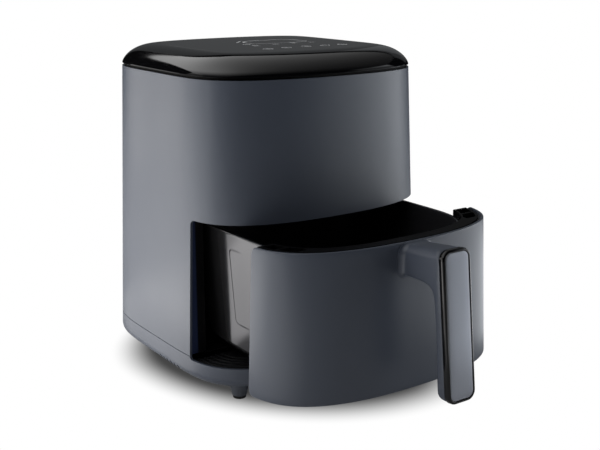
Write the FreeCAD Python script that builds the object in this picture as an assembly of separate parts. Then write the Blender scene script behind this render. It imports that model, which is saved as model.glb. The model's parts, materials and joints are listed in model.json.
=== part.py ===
import FreeCAD, Part
import math
import os

V = FreeCAD.Vector

# Basket air fryer, drawer partly pulled out. Millimetres, +Z up, front = -Y.
# Everything is drawn around the vertical axis of the housing, then moved by
# Y_SHIFT so that the origin is under the middle of the whole appliance.

# ---------------------------------------------------------------- dimensions
Y_SHIFT = 77.95           # housing axis to origin

# housing plan: |x/a|^EXP_X + |y/b|^EXP_Y = 1, tapering towards the top
EXP_X, EXP_Y = 2.345, 5.0
A_FLOOR, A_TAPER = 130.99, 0.033
B_FLOOR, B_TAPER = 136.80, 0.049
PLAN_POINTS = 56

Z_BASE = 14.5             # underside of the base
BASE_ROUND = 8.0          # rounded lower edge
Z_LIP = 33.0              # sill of the drawer opening
Z_SEAM = 36.5             # base to housing joint
Z_OPEN = 166.5            # top of the drawer opening
Z_TOP = 292.7             # top edge of the housing
Z_LID = 295.0             # lower edge of the lid
Z_LID_TOP = 315.0
WALL = 2.4
Y_MOUTH = -65.4           # plane where the drawer front meets the housing

DRAWER_OUT = 100.8        # how far the drawer stands open at rest
FRONT_LOW, FRONT_HIGH = 34.5, 165.0
FRONT_WALL = 2.6
DRAWER_GAP = 1.0          # gap between drawer front and housing sides

POT_EXP_X, POT_EXP_Y = 2.7, 5.0
POT_FLOOR = 37.0
POT_KNEE = 46.0
POT_RIM = 159.5
POT_T = 1.2
POT_A = (84.0, 93.0, 102.5)      # half widths: floor, knee, rim
POT_B = (91.5, 100.5, 110.0)      # half lengths: floor, knee, rim

CAV_A, CAV_B = 112.0, 116.0      # oven cavity, half width and half length
CAV_FLOOR = 34.0
CAV_T = 1.0
Z_HEADER = 167.0
Z_DECK = 170.0
DOME_A = 106.0                   # heater dome
Z_DOME = 210.0

FOOT_X, FOOT_Y = 96.0, 100.0
FOOT_R_TOP, FOOT_R_LOW = 9.6, 6.8
PAD_H = 3.0

HANDLE_HALF = 15.3
SHAFT_R = 4.0
BEARING_GAP = 0.05
GRID_Z = 56.0
GLAND_Z, GLAND_BORE = 60.0, 3.6

OUT = "parts"
os.makedirs(OUT, exist_ok=True)
BUILT = []


# ------------------------------------------------------------------- helpers
def plan(a, b, p, q, inset=0.0, n=PLAN_POINTS):
    """Points of a superellipse, moved inwards by inset along its normal."""
    pts = []
    for i in range(n):
        t = math.pi / 2 + 2 * math.pi * i / n
        c, s = math.cos(t), math.sin(t)
        lo, hi = 0.0, 2.0 * max(a, b)
        for _ in range(60):
            r = 0.5 * (lo + hi)
            if abs(r * c / a) ** p + abs(r * s / b) ** q > 1.0:
                hi = r
            else:
                lo = r
        x, y = r * c, r * s
        gx = math.copysign(p * abs(x / a) ** (p - 1) / a, x)
        gy = math.copysign(q * abs(y / b) ** (q - 1) / b, y)
        g = math.hypot(gx, gy)
        pts.append((x - inset * gx / g, y - inset * gy / g))
    return pts


def wire(pts, z):
    c = Part.BSplineCurve()
    c.interpolate(Points=[V(x, y, z) for x, y in pts], PeriodicFlag=True)
    return Part.Wire([c.toShape()])


def body_wire(z, inset=0.0):
    return wire(plan(A_FLOOR - A_TAPER * z, B_FLOOR - B_TAPER * z, EXP_X, EXP_Y, inset), z)


def loft(wires):
    return Part.makeLoft(wires, True, True)


def body_solid(z0, z1, inset=0.0):
    return loft([body_wire(z0, inset), body_wire(z1, inset)])


def prism(a, b, p, q, z0, z1, inset=0.0):
    f = Part.Face(wire(plan(a, b, p, q, inset), z0))
    return f.extrude(V(0, 0, z1 - z0))


def box(x0, x1, y0, y1, z0, z1):
    return Part.makeBox(x1 - x0, y1 - y0, z1 - z0, V(x0, y0, z0))


def rbox(x0, x1, y0, y1, z0, z1, r):
    b = box(x0, x1, y0, y1, z0, z1)
    es = [e for e in b.Edges if abs(e.Vertexes[0].Z - e.Vertexes[1].Z) > 0.5 * (z1 - z0)]
    return b.makeFillet(r, es)


def cyl(r, x, y, z0, z1):
    return Part.makeCylinder(r, z1 - z0, V(x, y, z0))


def cyl_y(r, x, z, y0, y1):
    return Part.makeCylinder(r, y1 - y0, V(x, y0, z), V(0, 1, 0))


def cyl_x(r, y, z, x0, x1):
    return Part.makeCylinder(r, x1 - x0, V(x0, y, z), V(1, 0, 0))


def ring(r0, r1, x, y, z0, z1):
    return cyl(r1, x, y, z0, z1).cut(cyl(r0, x, y, z0 - 1, z1 + 1))


def fuse(shapes):
    s = shapes[0].fuse(shapes[1:]) if len(shapes) > 1 else shapes[0]
    return s.removeSplitter()


def cut(s, tools):
    return s.cut(Part.makeCompound(tools))


def slot_y(x, y0, y1, z0, z1, w):
    """Round-ended slot along Y, through z0..z1."""
    return fuse([box(x - w / 2, x + w / 2, y0 + w / 2, y1 - w / 2, z0, z1),
                 cyl(w / 2, x, y0 + w / 2, z0, z1), cyl(w / 2, x, y1 - w / 2, z0, z1)])


def try_fillet(s, r, pick):
    es = [e for e in s.Edges if pick(e)]
    try:
        f = s.makeFillet(r, es)
        if f.isValid() and len(f.Solids) == len(s.Solids):
            return f
    except Exception:
        pass
    print("fillet skipped", r, len(es))
    return s


def out(name, shape, drawer=False):
    s = shape.copy()
    if len(s.Solids) == 1:
        s = s.Solids[0].copy()
    else:
        s = Part.makeCompound(s.Solids)
    s.translate(V(0, Y_SHIFT - (DRAWER_OUT if drawer else 0.0), 0))
    s.exportStep("%s/%s.step" % (OUT, name))
    bb = s.BoundBox
    BUILT.append((name, len(s.Solids), s.isValid(), bb))
    print("%-20s solids %2d valid %s vol %9.0f  x %7.1f %7.1f  y %7.1f %7.1f  z %6.1f %6.1f" % (
        name, len(s.Solids), s.isValid(), s.Volume, bb.XMin, bb.XMax, bb.YMin, bb.YMax, bb.ZMin, bb.ZMax))


def a_at(z):
    return A_FLOOR - A_TAPER * z


def b_at(z):
    return B_FLOOR - B_TAPER * z


def screw(x, y, z, d, head_r=2.6, head_h=1.8, r=1.4, length=10.0):
    """Pan-head screw, head on the -d side of (x, y, z), shank along d."""
    d = V(*d)
    p = V(x, y, z)
    head = Part.makeCylinder(head_r, head_h, p - d * head_h, d)
    shank = Part.makeCylinder(r, length, p, d)
    recess = Part.makeCylinder(1.1, 0.9, p - d * head_h, d)
    return head.fuse(shank).removeSplitter().cut(recess)


# --------------------------------------------------------------- housing
shell = body_solid(Z_SEAM, Z_TOP).cut(body_solid(Z_SEAM - 5, Z_TOP + 5, WALL))
# drawer opening, full width of the front, rounded upper corners
mouth = box(-200, 200, -200, Y_MOUTH, 0, Z_OPEN)
es = [e for e in mouth.Edges if abs(e.BoundBox.ZMin - Z_OPEN) < 1e-6 and abs(e.BoundBox.ZMax - Z_OPEN) < 1e-6
      and abs(e.BoundBox.YMin - Y_MOUTH) < 1e-6 and abs(e.BoundBox.YMax - Y_MOUTH) < 1e-6]
mouth = mouth.makeFillet(5.0, es)
shell = shell.cut(mouth)

# rear vent opening and cord gland hole
VENT_X, VENT_Z0, VENT_Z1 = 44.0, 182.0, 246.0
vent_hole = rbox(-VENT_X, VENT_X, VENT_Z0, VENT_Z1, 0, 60, 6.0)
vent_hole.rotate(V(0, 0, 0), V(1, 0, 0), 90)
vent_hole.translate(V(0, 150, 0))
shell = shell.cut(vent_hole).cut(cyl_y(6.1, 0, GLAND_Z, 100, 160))

# base tray with a rounded lower edge, floor vents and side slits
rounds = [(0.0, 1.0), (0.06, 0.66), (0.22, 0.375), (0.42, 0.185), (0.68, 0.052), (1.0, 0.0)]
base_w = [body_wire(Z_BASE + BASE_ROUND * h, BASE_ROUND * d) for h, d in rounds] + [body_wire(Z_SEAM)]
base = loft(base_w)
base_in = loft([body_wire(Z_BASE + 2.5, BASE_ROUND * 0.45 + 2.4), body_wire(Z_BASE + 7.0, 2.4 + 0.4), body_wire(Z_SEAM + 5, 2.4)])
base = base.cut(base_in)
# shadow line under the housing's lower edge
base = base.cut(body_solid(Z_SEAM - 0.7, Z_SEAM + 1.0, -1.0).cut(body_solid(Z_SEAM - 2.0, Z_SEAM + 2.0, 0.6)))
lip_cut = box(-200, 200, -200, Y_MOUTH, Z_LIP, 60)
es = [e for e in lip_cut.Edges if abs(e.BoundBox.ZMin - Z_LIP) < 1e-6 and abs(e.BoundBox.ZMax - Z_LIP) < 1e-6
      and abs(e.BoundBox.YMin - Y_MOUTH) < 1e-6 and abs(e.BoundBox.YMax - Y_MOUTH) < 1e-6]
lip_cut = lip_cut.makeFillet(3.0, es)
base = base.cut(lip_cut)
tools = []
for i in range(9):
    x = -48 + 12 * i
    tools.append(slot_y(x, 10, 60, Z_BASE - 3, Z_BASE + 8, 5.0))
for sgn in (-1, 1):
    for i in range(6):
        y = -8 - 7.0 * i
        tools.append(box(min(sgn * 121, sgn * 150), max(sgn * 121, sgn * 150), y - 1.3, y + 1.3, Z_BASE + 1.0, Z_BASE + 5.6))
for sx in (-1, 1):
    for sy in (-1, 1):
        tools.append(cyl(1.6, sx * FOOT_X, sy * FOOT_Y, Z_BASE - 2, Z_BASE + 8))
base = cut(base, tools)

feet, pads, fscrews = [], [], []
for sx in (-1, 1):
    for sy in (-1, 1):
        x, y = sx * FOOT_X, sy * FOOT_Y
        f = Part.makeCone(FOOT_R_LOW, FOOT_R_TOP, Z_BASE - PAD_H, V(x, y, PAD_H))
        f = f.cut(cyl(1.5, x, y, Z_BASE - 9.0, Z_BASE + 1))
        feet.append(f)
        p = cyl(FOOT_R_LOW - 0.6, x, y, 0, PAD_H)
        p = p.makeFillet(0.7, [e for e in p.Edges if abs(e.BoundBox.ZMax) < 1e-6])
        pads.append(p)
        fscrews.append(screw(x, y, Z_BASE + 2.5, (0, 0, -1), 3.0, 1.8, 1.4, 10.0))

# ribbed sill plate just behind the base lip, on four posts
SILL_TOP = 31.6
sill = body_solid(27.5, SILL_TOP - 1.0, 3.0).common(box(-200, 200, -200, Y_MOUTH + 1.0, 0, 60))
ribs = []
for i in range(6):
    d = 3.4 + 6.0 * i
    r = body_solid(SILL_TOP - 1.6, SILL_TOP, d).cut(body_solid(SILL_TOP - 3, SILL_TOP + 3, d + 2.2))
    ribs.append(r.common(box(-200, 200, -200, Y_MOUTH + 0.4, 0, 60)))
posts = [box(sx * 55 - 6, sx * 55 + 6, y - 4, y + 4, Z_BASE + 2.5, 28.5) for sx in (-1, 1) for y in (-72, -112)]
sill = fuse([sill] + ribs + posts)

# ------------------------------------------------------------ oven cavity
cav_out = prism(CAV_A + CAV_T, CAV_B + CAV_T, 3.0, 6.0, CAV_FLOOR, Z_HEADER - 0.2)
cav_in = prism(CAV_A, CAV_B, 3.0, 6.0, CAV_FLOOR + CAV_T, Z_HEADER + 5)
keep = box(-200, 200, Y_MOUTH + 4.0, 200, 0, 300)
liner = cav_out.cut(cav_in).common(keep)
liner_ribs = [box(x - 1.6, x + 1.6, Y_MOUTH + 6, 96, CAV_FLOOR + 0.4, POT_FLOOR - 0.5) for x in (-66, -22, 22, 66)]
liner_legs = [box(sx * 50 - 5, sx * 50 + 5, y - 5, y + 5, Z_BASE + 2.5, CAV_FLOOR + 0.5) for sx in (-1, 1) for y in (-52, 88)]
liner = fuse([liner] + liner_ribs + liner_legs)

# black plastic surround of the mouth: two jambs and the header under the upper housing
jamb = body_solid(Z_LIP + 4.5, Z_HEADER, WALL + 0.3)
jamb = jamb.common(box(-200, 200, Y_MOUTH + 0.2, Y_MOUTH + 3.8, 0, 300))
jamb = jamb.cut(prism(CAV_A, CAV_B, 3.0, 6.0, 0, Z_HEADER + 1))
header = body_solid(Z_HEADER, Z_DECK - 0.2, WALL + 0.3).cut(prism(DOME_A - 2.0, DOME_A - 2.0, 2.4, 2.6, 0, 400))
frame = fuse([jamb, header])
SW_X, SW_Z = 117.0, 112.0
frame = cut(frame, [cyl_y(1.55, SW_X, SW_Z, Y_MOUTH - 2, Y_MOUTH + 8), cyl_y(1.55, -SW_X, SW_Z, Y_MOUTH - 2, Y_MOUTH - 1)])

# safety switch behind the right jamb, with its plunger through the jamb
sw = box(SW_X - 3.2, SW_X + 3.2, Y_MOUTH + 4.2, Y_MOUTH + 14.2, SW_Z - 10, SW_Z + 10)
sw = cut(sw, [cyl_y(1.55, SW_X, SW_Z, Y_MOUTH + 4, Y_MOUTH + 11), cyl_x(1.5, Y_MOUTH + 11, SW_Z + 7, 100, 140),
              cyl_x(1.5, Y_MOUTH + 11, SW_Z - 7, 100, 140)])
sw_pins = [box(SW_X - 0.4, SW_X + 0.4, Y_MOUTH + 14.2, Y_MOUTH + 19, SW_Z + d - 1.6, SW_Z + d + 1.6) for d in (-7, 0, 7)]
sw = sw.fuse(sw_pins).removeSplitter()
plunger = fuse([cyl_y(1.45, SW_X, SW_Z, Y_MOUTH - 2.2, Y_MOUTH + 7.0)])
plunger = try_fillet(plunger, 0.6, lambda e: abs(e.BoundBox.YMax - (Y_MOUTH - 2.2)) < 1e-6)

# ------------------------------------------------------------- heater dome
dome = prism(DOME_A, DOME_A, 2.4, 2.6, Z_DECK, Z_DOME + 1.0)
dome = dome.cut(prism(DOME_A - 1.0, DOME_A - 1.0, 2.4, 2.6, Z_DECK - 1, Z_DOME))
flange = prism(DOME_A + 6.0, DOME_A + 6.0, 2.4, 2.6, Z_DECK, Z_DECK + 1.0).cut(prism(DOME_A - 1.0, DOME_A - 1.0, 2.4, 2.6, Z_DECK - 1, Z_DECK + 3))
dome = fuse([dome, flange])
DUCT_X, DUCT_Z0, DUCT_Z1 = 38.0, 186.0, 202.0
dome = cut(dome, [cyl(9.0, 0, 0, Z_DOME - 2, Z_DOME + 4), box(-DUCT_X, DUCT_X, 60, 120, DUCT_Z0, DUCT_Z1),
                  cyl_x(2.1, 20, 196, -120, -90)])

# heating element: one tube wound in two and a half turns, its two ends rising through the dome
def arc3(c, r, a0, a1, z):
    def p(a):
        return V(c[0] + r * math.cos(math.radians(a)), c[1] + r * math.sin(math.radians(a)), z)
    return Part.Arc(p(a0), p(0.5 * (a0 + a1)), p(a1)).toShape()

EL_Z, EL_R = 184.0, 3.2
segs = []
# half turns about two alternating centres, going outwards
r0, step = 62.0, 6.0
r = r0
centre = 0.0
for i in range(5):
    a0 = 90.0 if i % 2 == 0 else 270.0
    segs.append(arc3((0.0, centre), r, a0, a0 + 180.0, EL_Z))
    # next half turn shares this end point
    end_y = centre + r * math.sin(math.radians(a0 + 180.0))
    r += step
    centre = end_y + (r if i % 2 == 0 else -r)
coil_wire = Part.Wire(segs)
first, last = segs[0].valueAt(segs[0].FirstParameter), segs[-1].valueAt(segs[-1].LastParameter)
prof = Part.Wire([Part.makeCircle(EL_R, first, V(1, 0, 0))])
coil = coil_wire.makePipeShell([prof], True, True)
leg_a = cyl(EL_R, first.x, first.y, EL_Z, Z_DOME + 16)
leg_b = cyl(EL_R, last.x, last.y, EL_Z, Z_DOME + 16)
ball_a = Part.makeSphere(EL_R, V(first.x, first.y, EL_Z))
ball_b = Part.makeSphere(EL_R, V(last.x, last.y, EL_Z))
element = coil.fuse([leg_a, leg_b, ball_a, ball_b])
print("element ends", first, last, len(element.Solids), element.isValid())
dome = cut(dome, [cyl(6.1, first.x, first.y, Z_DOME - 2, Z_DOME + 4), cyl(6.1, last.x, last.y, Z_DOME - 2, Z_DOME + 4)])
bushes = []
for e in (first, last):
    b = fuse([cyl(6.0, e.x, e.y, Z_DOME - 3.0, Z_DOME + 9), cyl(8.0, e.x, e.y, Z_DOME + 1.0, Z_DOME + 3.5)])
    bushes.append(b.cut(cyl(EL_R + 0.1, e.x, e.y, Z_DOME - 6, Z_DOME + 12)))
tabs = [box(e.x - 0.4, e.x + 0.4, e.y - 2.8, e.y + 2.8, Z_DOME + 15.0, Z_DOME + 24) for e in (first, last)]
element = element.fuse(tabs)

# hangers under the coil
clips = []
for a in (20, 160, 245):
    ca, sa = math.cos(math.radians(a)), math.sin(math.radians(a))
    strip = fuse([box(57, 94, -4, 4, EL_Z - EL_R - 1.4, EL_Z - EL_R - 0.2), box(93, 94.2, -4, 4, EL_Z - EL_R - 1.4, Z_DOME - 0.2),
                  box(84, 94.2, -4, 4, Z_DOME - 1.2, Z_DOME)])
    strip.rotate(V(0, 0, 0), V(0, 0, 1), a)
    clips.append(strip)

# guard grille below the element: rings and spokes of round wire
gz = 176.0
rings_ = [Part.makeTorus(rr, 1.2, V(0, 0, gz)) for rr in (22, 44, 66, 88)]
spokes = []
for a in range(0, 360, 60):
    s_ = cyl_x(1.2, 0, gz + 1.2, 18, 97)
    s_.rotate(V(0, 0, 0), V(0, 0, 1), a + 30)
    spokes.append(s_)
lugs = []
for a in range(0, 360, 120):
    l_ = box(95, 103.5, -4, 4, gz, gz + 1.4)
    l_.rotate(V(0, 0, 0), V(0, 0, 1), a + 30)
    lugs.append(l_)
guard = rings_[0].fuse(rings_[1:] + spokes + lugs)

# ------------------------------------------------------------- rotor
shaft = fuse([cyl(SHAFT_R, 0, 0, 191.0, 282.0)])
shaft = try_fillet(shaft, 0.6, lambda e: abs(e.BoundBox.ZMax - 282.0) < 1e-6)
hub = fuse([cyl(9.0, 0, 0, 193.0, 205.0), cyl(56.0, 0, 0, 203.6, 205.0)])
blades = []
for i in range(12):
    bl = Part.makeBox(34.0, 1.2, 11.6, V(20.0, -0.6, 192.2))
    bl.rotate(V(20, 0, 0), V(0, 0, 1), 18)
    bl.rotate(V(0, 0, 0), V(0, 0, 1), 30 * i)
    blades.append(bl)
hot_fan = hub.fuse(blades).removeSplitter().cut(cyl(SHAFT_R, 0, 0, 180, 220))
hexagon = Part.makePolygon([V(6.2 * math.cos(math.radians(60 * k)), 6.2 * math.sin(math.radians(60 * k)), 187.8) for k in range(7)])
nut = Part.Face(hexagon).extrude(V(0, 0, 5.2)).cut(cyl(SHAFT_R, 0, 0, 191.0, 200))

chub = fuse([cyl(10.0, 0, 0, 264.0, 279.0), cyl(20.0, 0, 0, 264.0, 266.0)])
cbl = []
for i in range(9):
    bl = Part.makeBox(43.0, 1.4, 13.0, V(9.0, -0.7, 265.0))
    bl.rotate(V(0, 0, 271.5), V(1, 0, 0), 32)
    bl.rotate(V(0, 0, 0), V(0, 0, 1), 40 * i)
    cbl.append(bl)
cool_fan = chub.fuse(cbl).removeSplitter().cut(cyl(SHAFT_R, 0, 0, 250, 300))

# ------------------------------------------------------------- motor
MP_Z = 220.0
plate = rbox(-72, 72, -58, 58, MP_Z, MP_Z + 1.5, 10)
so_xy = [(-62, -48), (62, -48), (-62, 48), (62, 48)]
standoffs = [ring(1.6, 4.0, x, y, Z_DOME + 1.0, MP_Z) for x, y in so_xy]
plate = cut(plate, [cyl(10.0, 0, 0, MP_Z - 2, MP_Z + 4)] + [cyl(1.6, x, y, MP_Z - 2, MP_Z + 4) for x, y in so_xy]
            + [rbox(first.x - 10, first.x + 10, first.y - 10, first.y + 10, MP_Z - 2, MP_Z + 4, 3),
               rbox(last.x - 11, last.x + 11, last.y - 11, last.y + 11, MP_Z - 2, MP_Z + 4, 3)])
msc = [screw(x, y, MP_Z + 1.5, (0, 0, -1), 2.8, 1.8, 1.4, 8.0) for x, y in so_xy]

ST_Z0, ST_Z1 = 234.0, 254.0
stator_main = rbox(-29, 29, -27, 21, ST_Z0, ST_Z1, 3).fuse([box(-29, -17, 20, 46, ST_Z0, ST_Z1), box(17, 29, 20, 46, ST_Z0, ST_Z1), box(-29, 29, 36, 46, ST_Z0, ST_Z1)]).removeSplitter()
bolts_xy = [(-22, -20), (22, -20)]
stator_main = cut(stator_main, [cyl(16.6, 0, 0, ST_Z0 - 1, ST_Z1 + 1)] + [cyl(2.1, x, y, ST_Z0 - 1, ST_Z1 + 1) for x, y in bolts_xy])
winding = rbox(-16.4, 16.4, 31.0, 51.0, ST_Z0 - 5.0, ST_Z1 + 5.0, 4).cut(box(-30, 30, 35.8, 46.2, ST_Z0 - 0.2, ST_Z1 + 0.2))
winding = fuse([winding])
rotor = cyl(16.0, 0, 0, ST_Z0 + 1, ST_Z1 - 1).cut(cyl(SHAFT_R, 0, 0, 200, 300))
def yoke(z0, z1, zb):
    y_ = fuse([rbox(-28, 28, -26, -14, z0, z1, 3), rbox(-8, 8, -26, 9, z0, z1, 3), cyl(11, 0, 0, z0, z1)])
    return cut(y_, [cyl(7.1, 0, 0, z0 - 1, z1 + 1)] + [cyl(2.1, x, y, z0 - 1, z1 + 1) for x, y in bolts_xy])
low_yoke = yoke(225.0, 228.0, 0)
up_yoke = yoke(259.0, 261.5, 0)
bear = [ring(SHAFT_R + BEARING_GAP, 7.0, 0, 0, 223.0, 230.0), ring(SHAFT_R + BEARING_GAP, 7.0, 0, 0, 257.0, 263.0)]
tie = []
for x, y in bolts_xy:
    t_ = cyl(2.0, x, y, MP_Z - 3, 264.0).fuse([ring(2.0, 4.0, x, y, 221.6, 225.0), ring(2.0, 4.0, x, y, 228.0, ST_Z0), ring(2.0, 4.0, x, y, ST_Z1, 259.0), ring(2.0, 3.8, x, y, 261.5, 264.0)])
    tie.append(t_.removeSplitter())
plate = cut(plate, [cyl(2.1, x, y, MP_Z - 2, MP_Z + 4) for x, y in bolts_xy])

# ------------------------------------------------------------- electronics
board = rbox(-100, -46, -60, 36, 226.0, 227.6, 3)
bd_xy = [(-66, -40), (-66, 30)]
board = cut(board, [cyl(1.6, x, y, 220, 230) for x, y in bd_xy])
bd_posts = [ring(1.4, 3.2, x, y, MP_Z + 1.5, 226.0) for x, y in bd_xy]
relay = rbox(-94, -76, -50, -22, 227.6, 243.0, 1.0)
cap = cyl(8.0, -88, -6, 227.6, 249.0)
xcap = rbox(-74, -52, -56, -46, 227.6, 241.0, 1.0)
term = cut(rbox(-98, -88, 8, 32, 227.6, 238.0, 0.8), [cyl_x(1.8, y, 233.0, -100, -92) for y in (12.5, 20.0, 27.5)])
cutout = fuse([cyl(9.0, 42, -62, Z_DOME + 1.0, Z_DOME + 8.0), rbox(30, 54, -66, -58, Z_DOME + 1.0, Z_DOME + 2.4, 2)])
sensor = fuse([cyl_x(2.0, 20, 196, -108, -86), cyl_x(4.2, 20, 196, -109.5, -107.6)])

# exhaust duct from the dome to the rear grille
duct = box(-DUCT_X + 0.3, DUCT_X - 0.3, 101.0, 119.0, DUCT_Z0 + 0.3, DUCT_Z1 - 0.3).cut(box(-DUCT_X + 1.5, DUCT_X - 1.5, 95, 130, DUCT_Z0 + 1.5, DUCT_Z1 - 1.5))
dflange = box(-DUCT_X - 2, DUCT_X + 2, 117.8, 119.0, DUCT_Z0 - 3, DUCT_Z1 + 3).cut(box(-DUCT_X + 1.5, DUCT_X - 1.5, 95, 130, DUCT_Z0 + 1.5, DUCT_Z1 - 1.5))
duct = fuse([duct, dflange])

grille = body_solid(170, 260, 0.4).cut(body_solid(165, 265, 3.4))
gb = rbox(-VENT_X + 0.3, VENT_X - 0.3, VENT_Z0 + 0.3, VENT_Z1 - 0.3, 0, 60, 5.7)
gb.rotate(V(0, 0, 0), V(1, 0, 0), 90)
gb.translate(V(0, 150, 0))
grille = grille.common(gb)
lou = []
for k in range(8):
    z = VENT_Z0 + 5.0 + 7.0 * k
    for x0, x1 in ((-VENT_X + 5, -2.0), (2.0, VENT_X - 5)):
        lou.append(box(x0, x1, 100, 150, z, z + 3.6))
grille = cut(grille, lou)

ins = prism(DOME_A + 5.0, DOME_A + 5.0, 2.4, 2.6, Z_DECK + 1.3, Z_DOME - 4.0).cut(prism(DOME_A + 0.5, DOME_A + 0.5, 2.4, 2.6, Z_DECK, Z_DOME))
ins = cut(ins, [box(-DUCT_X, DUCT_X, 60, 130, DUCT_Z0, DUCT_Z1), cyl_x(4.6, 20, 196, -130, -90)])

gland = fuse([cyl_y(6.0, 0, GLAND_Z, 122.0, 135.5), cyl_y(9.0, 0, GLAND_Z, 134.7, 137.0), cyl_y(8.2, 0, GLAND_Z, 124.0, 130.4)])
gland = try_fillet(gland, 1.0, lambda e: abs(e.BoundBox.YMin - 137.0) < 1e-6 and abs(e.BoundBox.YMax - 137.0) < 1e-6)
gland = gland.cut(cyl_y(GLAND_BORE, 0, GLAND_Z, 100, 160))

# ------------------------------------------------------------- lid
LID_EDGE, LID_RISE, LID_ROLL = 295.4, 18.7, 46.0      # lower edge, crown height, width of the roll
def lid_z(d):
    """Height of the crown at a distance in from the lid's edge."""
    return LID_EDGE + LID_RISE * (1.0 - max(0.0, 1.0 - d / LID_ROLL) ** 3) ** (2.0 / 3.0)

LID_OUT = [(d, lid_z(d)) for d in (0.0, 0.12, 0.5, 1.2, 2.2, 3.6, 5.4, 7.8, 10.8, 14.4, 18.6, 23.4, 28.8, 34.6, 40.6, 46.0)]
LID_IN = [(2.4, LID_EDGE - 2.0), (2.5, lid_z(0.2) - 0.6)] + [(d + 2.4, lid_z(d) - 1.9) for d in (1.2, 3.0, 6.0, 10.0, 15.0)] + [(23.0, 309.4), (30.0, 309.6)]
lid = loft([body_wire(z, d) for d, z in LID_OUT]).cut(loft([body_wire(z, d) for d, z in LID_IN]))
PANEL_IN = 33.0
BOSS_R = 114.0            # lid fixing bosses, on the diagonals
panel_cut = body_solid(311.4, 320.0, PANEL_IN - 0.2)
lid = lid.cut(panel_cut).cut(body_solid(300.0, 320.0, PANEL_IN + 4.0))
panel = body_solid(311.4, 313.75, PANEL_IN)
neck = body_solid(280.0, 295.6, 3.2).cut(body_solid(275.0, 300.0, 6.0))
tabs_n = []
for a in (45, 135, 225, 315):
    t_ = rbox(106, 148, -6, 6, 286.0, 289.0, 2)
    t_.rotate(V(0, 0, 0), V(0, 0, 1), a)
    tabs_n.append(t_)
neck = neck.fuse([t_.common(body_solid(285, 290, 4.0)) for t_ in tabs_n]).removeSplitter()
lid_sc, lid_boss = [], []
for a in (45, 135, 225, 315):
    x, y = BOSS_R * math.cos(math.radians(a)), BOSS_R * math.sin(math.radians(a))
    neck = neck.cut(cyl(1.6, x, y, 280, 295))
    lid_boss.append((x, y))
    lid_sc.append(screw(x, y, 286.0, (0, 0, 1), 2.8, 1.8, 1.4, 11.0))
crown = loft([body_wire(z - 0.6, d) for d, z in LID_OUT])
lid = lid.fuse([cyl(4.0, x, y, 298.0, 311.4).common(crown).fuse(cyl(4.0, x, y, 289.0, 300.0)) for x, y in lid_boss])
lid = cut(lid, [cyl(1.5, x, y, 280, 299) for x, y in lid_boss]).removeSplitter()

baffle = body_solid(283.0, 284.6, 8.0).cut(cyl(46.0, 0, 0, 270, 300))
baffle = cut(baffle, [cyl(5.2, BOSS_R * math.cos(math.radians(a)), BOSS_R * math.sin(math.radians(a)), 270, 300) for a in (45, 135, 225, 315)])
bf_arms = []
for a in (0, 90, 180, 270):
    t_ = box(100, 130, -5, 5, 283.0, 284.6)
    t_.rotate(V(0, 0, 0), V(0, 0, 1), a)
    bf_arms.append(t_.common(body_solid(280, 290, 6.2)))
baffle = baffle.fuse(bf_arms).removeSplitter()

cpcb = rbox(-62, 62, -84, 20, 300.0, 301.6, 4)
cp_xy = [(-53, -70), (53, -70), (-53, 8), (53, 8)]
cpcb = cut(cpcb, [cyl(1.6, x, y, 295, 305) for x, y in cp_xy])
cp_posts = [ring(1.4, 3.4, x, y, 301.6, 311.3) for x, y in cp_xy]
display = rbox(-24, 24, -40, -14, 301.6, 311.2, 1.5)
springs = []
keys_xy = [(-44 + 14.7 * i, -70) for i in range(7)] + [(-42, -27), (42, -27), (-30, 4), (0, 4), (30, 4)]
for x, y in keys_xy:
    springs.append(ring(2.4, 3.4, x, y, 301.6, 311.2))

# ------------------------------------------------------------- drawer
front = body_solid(FRONT_LOW, FRONT_HIGH).cut(body_solid(FRONT_LOW - 5, FRONT_HIGH + 5, FRONT_WALL))
front_keep = box(-200, 200, -200, Y_MOUTH - DRAWER_GAP, FRONT_LOW - 20, FRONT_HIGH + 20)
front = front.common(front_keep)
# small returns that stiffen the upper and lower edges
for z0, z1 in ((FRONT_LOW, FRONT_LOW + 2.2), (FRONT_HIGH - 2.0, FRONT_HIGH - 0.4)):
    r_ = body_solid(z0, z1, FRONT_WALL - 0.3).cut(body_solid(z0 - 3, z1 + 3, FRONT_WALL + 2.4)).common(front_keep)
    front = front.fuse(r_)
front = front.removeSplitter()
# upper and lower rear corners rounded
FRONT_CORNER = 5.0
for z_edge, s_ in ((FRONT_LOW, 1.0), (FRONT_HIGH, -1.0)):
    yc, zc = Y_MOUTH - DRAWER_GAP - FRONT_CORNER, z_edge + s_ * FRONT_CORNER
    for x0 in (-150, 90):
        nib = box(x0, x0 + 60, yc, yc + 8, min(zc, zc - s_ * 8), max(zc, zc - s_ * 8))
        nib = nib.cut(Part.makeCylinder(FRONT_CORNER, 80, V(x0 - 10, yc, zc), V(1, 0, 0)))
        front = front.cut(nib)

def pot_wire(k, z, inset=0.0):
    return wire(plan(POT_A[k], POT_B[k], POT_EXP_X, POT_EXP_Y, inset), z)

pot = loft([pot_wire(0, POT_FLOOR), pot_wire(1, POT_KNEE), pot_wire(2, POT_RIM)])
pot_hollow = loft([pot_wire(0, POT_FLOOR + POT_T, 0.9), pot_wire(1, POT_KNEE + 0.4, POT_T), pot_wire(2, POT_RIM, POT_T)])
up = wire(plan(POT_A[2], POT_B[2], POT_EXP_X, POT_EXP_Y, POT_T), POT_RIM - 0.2)
pot_hollow = pot_hollow.fuse(Part.Face(up).extrude(V(0, 0, 6)))
rim = prism(POT_A[2], POT_B[2], POT_EXP_X, POT_EXP_Y, POT_RIM - 1.6, POT_RIM, -2.4)
pot = pot.fuse(rim).cut(pot_hollow).removeSplitter()

def pot_clear(gap, z0, z1):
    return prism(POT_A[2], POT_B[2], POT_EXP_X, POT_EXP_Y, z0, z1, -(2.4 + gap))

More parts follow.
